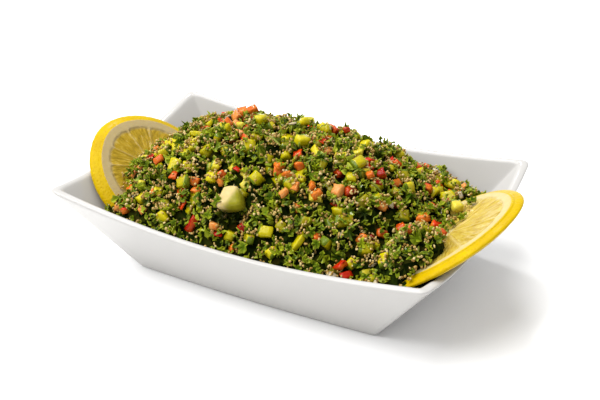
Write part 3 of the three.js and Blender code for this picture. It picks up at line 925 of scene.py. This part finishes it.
class Filling:
    """The growing top of the heap as a grid of heights, on which the next piece comes to rest."""

    def __init__(self):
        self.low = np.array([-98.0, -62.0])
        xs = np.arange(self.low[0], 98, CELL)
        ys = np.arange(self.low[1], 62, CELL)
        x, y = np.meshgrid(xs, ys, indexing="ij")
        self.target = heap_height(x, y) + lumps(x, y)
        self.pile = core_top(x, y)
        self.top = np.maximum(self.pile, wall_height(x, y))
        for body in SLICE_BODIES:
            self.top = np.maximum(self.top, body.face_height(x, y))
        self.kinds = {}

    def cell(self, points):
        columns, rows = ((points[:, :2] - self.low) / CELL).astype(int).T
        last_column, last_row = np.array(self.top.shape) - 1
        return np.clip(columns, 0, last_column), np.clip(rows, 0, last_row)

    def clear_of_neighbours(self, points, place):
        """Moves a piece off the dish's walls and the slices, or gives None if it won't fit."""
        for _ in range(3):
            here = points + place
            moved = np.zeros(3)
            for axis, room in enumerate(wall_clearance(here)):
                if room.min() < WALL_ROOM:
                    moved[axis] -= copysign(WALL_ROOM + 0.05 - room.min(), place[axis])
            for body in SLICE_BODIES:
                deep = body.overlap(here)
                if deep > 0:
                    moved += body.turn[:, 2] * (deep + 0.05)
            if not moved.any():
                return place
            if np.linalg.norm(moved) > PUSH_LIMIT:
                return None
            place = place + moved
        return None

    def sunk(self, points):
        """How far points lie under the tops around them, 0 on the crests and 1 down in the gaps,
        which sets how much painted shade they get.
        """
        level = self.pile
        shifts = range(-BLUR_CELLS, BLUR_CELLS + 1)
        for axis in (0, 1) * 3:
            level = sum(np.roll(level, shift, axis) for shift in shifts) / len(shifts)
        return np.clip((level[self.cell(points)] - points[:, 2] + 0.2) / GAP_SHADE_DEPTH, 0, 1)

    def drop(self, kind, chop, x, y, spin, scale, sink, proud, tone):
        """Lets one piece settle at a place. It stays if the heap isn't too high there already.

        It sinks `sink` into what it lands on, and may stand `proud` over the heap's own shape.
        """
        normal = heap_normal(x, y)
        turn = np.array((Vector((0, 0, 1)).rotation_difference(normal) @ spin).to_matrix()) * scale
        tests = chop.tests @ turn.T
        place = np.array([x, y, 0.0])
        cells = self.cell(tests + place)
        place[2] = np.max(self.top[cells] - tests[:, 2]) - sink
        over = np.sort(tests[:, 2] + place[2] - self.target[cells])
        if over[int(len(over) * PROUD_SHARE)] > proud:
            return False
        place = self.clear_of_neighbours(tests, place)
        if place is None:
            return False
        settled = tests + place
        for heights in (self.top, self.pile):
            np.maximum.at(heights, self.cell(settled), settled[:, 2])
        self.kinds.setdefault(kind, []).append((chop, chop.points @ turn.T + place, tone))
        return True


def in_dish(x, y):
    return heap_height(x, y) > wall_height(x, y) + 0.5


def over_slice(x, y):
    return any(body.face_height(x, y) > 0 for body in SLICE_BODIES)


def steep(x, y):
    return heap_normal(x, y).z < 0.8


def clusters(layer, threshold):
    """Whether a place lies in one of the small clusters that grains keep to in a layer."""
    return lambda x, y: wavy(x, y, layer * 3.0, 5.0) > threshold


# Each way of cutting: the piece its cuts join, their maker, how many different ones there are, and
# how far they tip and sink unless told otherwise.
CUTS = {
    "dice": ("cucumber", cucumber_die, 16, 0.5, 1.9),
    "strips": ("cucumber", cucumber_strip, 8, 0.3, 1.2),
    "reds": ("tomato", tomato_die, 16, 0.5, 1.6),
    "flakes": ("tomato", tomato_flake, 6, 0.4, 0.8),
    "shards": ("onion", onion_shard, 6, 0.4, 0.8),
    "rings": ("spring_onion", onion_ring, 4, 0.7, 1.2),
    "tufts": ("parsley_tuft", parsley((5.4, 8.4), (4.4, 6.6), 16, 1.3, 1.5), 30, 0.6, 1.5),
    "leaves": ("parsley_leaf", parsley((3.6, 5.8), (2.8, 4.2), 12, 1.0, 1.2), 30, 0.6, 0.9),
    "crumbs": ("parsley_crumb", parsley((2.0, 3.6), (1.6, 2.6), 6, 0.6, 0.7), 24, 0.8, 0.4),
    "stems": ("parsley_stem", parsley_stem, 8, 0.3, 0.6),
    "grains": ("bulgur", bulgur_grain, 16, 1.0, 0.3),
}


def fill_dish():
    rng = np.random.default_rng(SEED)
    filling = Filling()
    stock = {name: [make(rng) for _ in range(n)] for name, (_, make, n, _, _) in CUTS.items()}

    def add(cut, count, tries, proud, tip=None, sink=None, where=None):
        """Drops cuts at random until `count` of them stay or the tries run out."""
        kind, _, _, usual_tip, usual_sink = CUTS[cut]
        tip, sink = tip or usual_tip, sink or usual_sink
        stayed = 0
        for _ in range(tries):
            if stayed >= count:
                break
            x, y = rng.uniform(-92, 92), rng.uniform(-58, 58)
            chop = stock[cut][rng.integers(len(stock[cut]))]
            lean = Quaternion((1, 0, 0), rng.normal(0, tip))
            lean = lean @ Quaternion((0, 1, 0), rng.normal(0, tip))
            spin = lean @ Quaternion((0, 0, 1), rng.uniform(0, 2 * pi))
            scale = rng.uniform(0.82, 1.15)
            tone = rng.uniform(0, 1)
            if in_dish(x, y) and (not where or where(x, y)):
                stayed += filling.drop(kind, chop, x, y, spin, scale, sink, proud, tone)

    # The bed of large cuts, then the salad tucked round the slices.
    add("dice", 130, 900, 0.6, sink=2.4)
    add("strips", 20, 240, 0.8, tip=0.25, sink=1.5)
    add("reds", 80, 700, 0.5, sink=2.0)
    add("shards", 12, 300, 0.5, sink=1.0)
    add("tufts", 60, 1500, 0.4, where=over_slice)
    add("leaves", 120, 2500, 0.4, where=over_slice)
    add("crumbs", 160, 3000, 0.4, where=over_slice)
    for layer in range(5):
        add("tufts", 200, 1100, 0.7)
        add("dice", 56, 500, 1.5)
        add("leaves", 240, 1800, 0.8)
        add("reds", 36, 400, 1.4)
        add("strips", 10, 120, 1.5)
        add("flakes", 8, 100, 1.2)
        add("grains", 740, 11000, 1.5, where=clusters(layer, 0.3))
        add("crumbs", 260, 2000, 1.0)
        add("shards", 3, 60, 1.2)
        add("rings", 1, 60, 1.5)
        add("stems", 12, 120, 1.2)
    # Steep sides, which few of the pieces above stay on.
    for _ in range(3):
        add("leaves", 60, 1200, 2.6, tip=0.5, where=steep)
        add("crumbs", 100, 1500, 2.2, tip=0.7, where=steep)
        add("grains", 80, 1500, 2.2, where=steep)
    # What lies on top.
    add("dice", 62, 400, 3.6, sink=2.3)
    add("strips", 6, 60, 3.0, sink=1.4)
    add("reds", 30, 240, 3.2, sink=2.0)
    add("grains", 300, 3000, 2.4, where=clusters(10, 0.4))
    add("leaves", 60, 400, 2.4, tip=0.5)
    add("crumbs", 100, 600, 3.0)
    anywhere = 9.0
    wedge, turn = pale_wedge(), Quaternion((0, 0, 1), 0.35)
    filling.drop("cucumber_wedge", wedge, *WEDGE_PLACE, turn, 1.0, 6.4, anywhere, 0.5)
    for middle, reach, count in CURLS:
        for leaf in stock["leaves"][:count]:
            x, y = (place + rng.uniform(-reach, reach) for place in middle)
            lean = Quaternion((1, 0, 0), rng.normal(0, 0.3))
            turn = lean @ Quaternion((0, 0, 1), rng.uniform(0, 6.28))
            tone = rng.uniform(0, 1)
            filling.drop("parsley_leaf", leaf, x, y, turn, 0.95, 1.3, anywhere, tone)
    return filling


def joined_mesh(name, filling):
    """All pieces of one kind as one mesh, with each point's mark, tone and depth in the heap, the
    depth setting its painted shade.
    """
    pieces = filling.kinds[name]
    points = np.concatenate([placed for _, placed, _ in pieces])
    faces, start = [], 0
    for chop, placed, _ in pieces:
        faces += [[start + i for i in face] for face in chop.faces]
        start += len(placed)
    mesh = bpy.data.meshes.new(name)
    mesh.from_pydata(points * MM, [], faces)
    values = {
        "mark": np.concatenate([chop.marks for chop, _, _ in pieces]),
        "tone": np.concatenate([np.full(len(placed), tone) for _, placed, tone in pieces]),
        "sunk": filling.sunk(points),
    }
    for label, numbers in values.items():
        layer = mesh.attributes.new(label, "FLOAT", "POINT")
        layer.data.foreach_set("value", numbers.astype(np.float32))
    return mesh


# ---- Finishes of the salad ----
# How far the painted shade darkens food towards its gap colour at the bottom of a gap.
PAINTED_GAP_SHADE = 0.88


def moist(finish, colour, gap_shade, roughness, glow, coat):
    """Food that light soaks into, with painted shade darkening its colour down in the gaps, and
    under a thin coat of dressing.
    """
    finish.soaked(*glow)
    finish.set(
        # Painted shade: the colour is mixed towards the gap colour where the piece lies sunk among
        # the tops.
        Base_Color=finish.mix(finish.number("sunk") * PAINTED_GAP_SHADE, colour, gap_shade),
        Roughness=roughness,
        Coat_Weight=coat,
        Coat_Roughness=0.16,
        Coat_IOR=1.36,
        Specular_IOR_Level=0.08,
    )


def parsley_finish(name, dark, middle, light):
    """Leaf green that varies from piece to piece, with a painted highlight that makes it paler and
    yellower on the frilled rim.
    """
    finish = Finish(name)
    pick = finish.number("tone") * 0.55 + finish.noise(330, 2) * 0.45
    green = finish.ramp(pick, (0.2, dark), (0.5, middle), (0.8, light))
    # Painted highlight: where the mark is high, on the frilled rim, the green is mixed towards pale
    # yellow-green.
    green = finish.mix(finish.number("mark") ** 3 * 0.6, green, "a6ac2a")
    roughness = 0.36 + finish.noise(900, 2) * 0.2
    moist(finish, green, "070b01", roughness, (0.1, (0.6, 1.0, 0.1), 0.0006), 0.16)
    return finish.bumped(finish.noise(1500, 2), 0.4, 0.00025)


def cucumber_finish():
    finish = Finish("cucumber_flesh")
    grain = finish.noise(500, 3)
    pick = finish.number("tone") * 0.7 + grain * 0.3
    stops = (0.1, "7c7402"), (0.4, "9f9403"), (0.7, "b5a80c"), (0.95, "c0ae48")
    skin = finish.mix(grain, "40550c", "6e7a15")
    on_rind = finish.step(finish.number("mark"), 0.4, 0.6)
    colour = finish.mix(on_rind, finish.ramp(pick, *stops), skin)
    moist(finish, colour, "1c1d02", 0.22 + grain * 0.15, (0.4, (0.9, 1.0, 0.2), 0.0025), 0.25)
    return finish.bumped(finish.noise(800, 3), 0.35, 0.0004)


def wedge_finish():
    finish = Finish("pale_cucumber")
    grain = finish.noise(380, 3)
    # Painted light and shade over the chunk's own cream and green: cream on the lit side, darker
    # green on the side away from the light.
    top = finish.mix(grain, "ad9660", "bead78")
    green_shaded_side = finish.mix(grain, "6a6a0e", "918a1e")
    colour = finish.mix(finish.number("mark"), top, green_shaded_side)
    moist(finish, colour, "5c5410", 0.28 + grain * 0.12, (0.4, (1.0, 0.9, 0.3), 0.003), 0.12)
    return finish.bumped(grain, 0.25, 0.0005)


def tomato_finish():
    finish = Finish("tomato_flesh")
    tone = finish.number("tone")
    grain = finish.noise(420, 3)
    stops = (0.15, "8c2604"), (0.4, "b3460a"), (0.65, "be6a1c"), (0.9, "c29050")
    pulp = finish.ramp(tone * 0.6 + grain * 0.4, *stops)
    red = finish.ramp(tone, (0.1, "861202"), (0.5, "b82405"), (0.9, "c4400a"))
    colour = finish.mix(finish.step(finish.number("mark"), 0.3, 0.7), pulp, red)
    moist(finish, colour, "240801", 0.16 + grain * 0.12, (0.35, (1.0, 0.35, 0.15), 0.002), 0.3)
    return finish.bumped(finish.noise(700, 3), 0.4, 0.0005)


def onion_finish(name, outer, inner, rind):
    finish = Finish(name)
    veins = finish.noise(600, 2)
    flesh = finish.mix(veins, outer, inner)
    colour = finish.mix(finish.number("mark"), flesh, rind)
    moist(finish, colour, "2a2412", 0.25 + veins * 0.15, (0.4, (1.0, 0.95, 0.6), 0.002), 0.15)
    return finish.bumped(veins, 0.2, 0.0003)


def bulgur_finish():
    finish = Finish("bulgur_grain")
    grain = finish.noise(1200, 2)
    pick = finish.number("tone") * 0.8 + grain * 0.2
    stops = (0.05, "7d5c26"), (0.4, "9e8145"), (0.75, "b59e66"), (0.95, "c6b484")
    wheat = finish.ramp(pick, *stops)
    moist(finish, wheat, "211503", 0.4 + grain * 0.2, (0.35, (1.0, 0.8, 0.45), 0.001), 0.1)
    return finish.bumped(grain, 0.3, 0.0002)


def core_finish():
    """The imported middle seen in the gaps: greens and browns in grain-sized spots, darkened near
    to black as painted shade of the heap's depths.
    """
    finish = Finish("salad_depth_shade")
    spots = finish.cells(420, output="Color")
    pick = finish.node("ShaderNodeSeparateColor", {}, {"Color": spots}, "Red")
    # Painted shade: the mixture's greens and browns are kept near black, as the gaps they show
    # through lie in shade.
    stops = (0.1, "0a1003"), (0.4, "151f06"), (0.65, "202b08"), (0.9, "2c2a0b")
    finish.set(
        Base_Color=finish.ramp(pick, *stops),
        Roughness=0.6 + pick * 0.2,
        Specular_IOR_Level=0.0,
    )
    return finish.bumped(finish.cells(420), 0.6, 0.001)


def make_core():
    """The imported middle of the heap, from the dish's floor up to just under the loose pieces."""
    rows_over, rows_down = 76, 12

    def place(turn, row):
        station = station_at(turn)
        height = contact[station]
        if row <= rows_over:
            edge = dish_point(station, height, 1, 0.3)
            share = sin(row / rows_over * pi / 2) if row < rows_over else 1
            x = lerp(HEAP["centre"][0], edge.x, share)
            y = lerp(HEAP["centre"][1], edge.y, share)
            top = float(core_top(np.float64(x), np.float64(y)))
            relief = 0.7 * wavy(x, y, 0, 2.6) + 0.5 * wavy(x, y, 9, 1.4)
            fade = smooth(1.0, 0.96, share)
            z = min(top + relief * fade, top) if row < rows_over else height
            return Vector((x, y, max(z, FLOOR + 1.0)))
        share = (row - rows_over) / rows_down
        low = FLOOR + 0.4
        if share < 0.5:
            return dish_point(station, lerp(height, FLOOR + FLOOR_FILLET, share * 2), 1, 0.3)
        point = fillet_point(station, (share - 0.5) * 2)
        return plan_share(point, 0.99 if share < 1 else 0, max(point.z, low) + 0.3)

    contact = {}
    for station in STATIONS:
        low, high = FLOOR + FLOOR_FILLET + 1, rim_height(station) - 1
        for _ in range(24):
            middle = (low + high) / 2
            point = dish_point(station, middle, 1, 0.3)
            above = float(core_top(np.float64(point.x), np.float64(point.y))) > middle
            low, high = (middle, high) if above else (low, middle)
        contact[station] = low
    bm = wrapped_skin(len(STATIONS), rows_over + rows_down, place)
    return finish_piece("salad_core", bm, core_finish())


def make_salad():
    pieces = [make_core()]
    filling = fill_dish()
    finishes = {
        "cucumber_wedge": wedge_finish(),
        "cucumber": cucumber_finish(),
        "tomato": tomato_finish(),
        "onion": onion_finish("onion_flesh", "9f9175", "b3a88d", "a99b78"),
        "spring_onion": onion_finish("spring_onion_flesh", "adb778", "c4c79b", "6d8525"),
        "parsley_tuft": parsley_finish("parsley_tuft", "132b03", "3a5606", "737e0d"),
        "parsley_leaf": parsley_finish("parsley_leaf", "1a3504", "455f06", "7f880f"),
        "parsley_crumb": parsley_finish("parsley_crumb", "264006", "586c09", "90931a"),
        "parsley_stem": parsley_finish("parsley_stalk", "495c10", "69771f", "858a3d"),
        "bulgur": bulgur_finish(),
    }
    for kind, material in finishes.items():
        if kind in filling.kinds:
            crisp = kind.startswith("parsley")
            pieces.append(show_piece(kind, joined_mesh(kind, filling), material, crisp=crisp))
    for piece in pieces:
        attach(piece, "root")
        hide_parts("salad")
    return pieces


# ---- Studio ----
CAMERA_PLACE = (0.25332, -0.4034, 0.31832)
CAMERA_AZIMUTH = 0.5514
CAMERA_ELEVATION = 0.5406
CAMERA_ROLL = -0.0627
CAMERA_LENS = 68.37
KEY_FROM = (-0.38, -0.2, 0.9)
GLINT_FROM = (-0.45, 0.55, 0.8)


def make_camera():
    level = cos(CAMERA_ELEVATION)
    rise = sin(CAMERA_ELEVATION)
    back = Vector((sin(CAMERA_AZIMUTH) * level, -cos(CAMERA_AZIMUTH) * level, rise))
    across = Vector((0, 0, 1)).cross(back).normalized()
    up = back.cross(across)
    right = across * cos(CAMERA_ROLL) + up * sin(CAMERA_ROLL)
    upright = up * cos(CAMERA_ROLL) - across * sin(CAMERA_ROLL)
    data = bpy.data.cameras.new("studio_camera")
    data.lens = CAMERA_LENS
    data.sensor_width = 36
    data.clip_start = 0.01
    camera = new_object("studio_camera", data)
    turn = Matrix((right, upright, back)).transposed().to_4x4()
    camera.matrix_world = Matrix.Translation(CAMERA_PLACE) @ turn
    bpy.context.scene.camera = camera


def make_light(name, direction, distance, size, power):
    data = bpy.data.lights.new(name, "AREA")
    data.shape = "DISK"
    data.size = size
    data.energy = power
    light = new_object(name, data)
    aim = Vector(direction).normalized()
    light.location = aim * distance
    light.rotation_euler = aim.to_track_quat("Z", "Y").to_euler()


def make_floor():
    bm = bmesh.new()
    bmesh.ops.create_grid(bm, x_segments=1, y_segments=1, size=4)
    mesh = bpy.data.meshes.new("studio_floor")
    bm.to_mesh(mesh)
    bm.free()
    finish = Finish("studio_floor")
    finish.set(Base_Color=(0.93, 0.93, 0.93, 1), Roughness=0.9, Specular_IOR_Level=0.0)
    floor = show_piece("studio_floor", mesh, finish.material, crisp=True)


def make_studio():
    make_camera()
    make_light("key_light", KEY_FROM, 2.0, 2.3, 75)
    make_light("glint_light", GLINT_FROM, 1.2, 0.14, 4.0)
    make_floor()
    world = bpy.data.worlds.new("studio_world")
    world.use_nodes = True
    background = world.node_tree.nodes["Background"].inputs
    background["Color"].default_value = (1, 1, 1, 1)
    background["Strength"].default_value = 0.72
    bpy.context.scene.world = world
    bpy.context.scene.view_settings.view_transform = "Standard"


make_studio()
make_dish()
lemon_zest = lemon_zest_finish()
for slice_name in SLICES:
    make_lemon_slice(slice_name, lemon_zest)
make_salad()
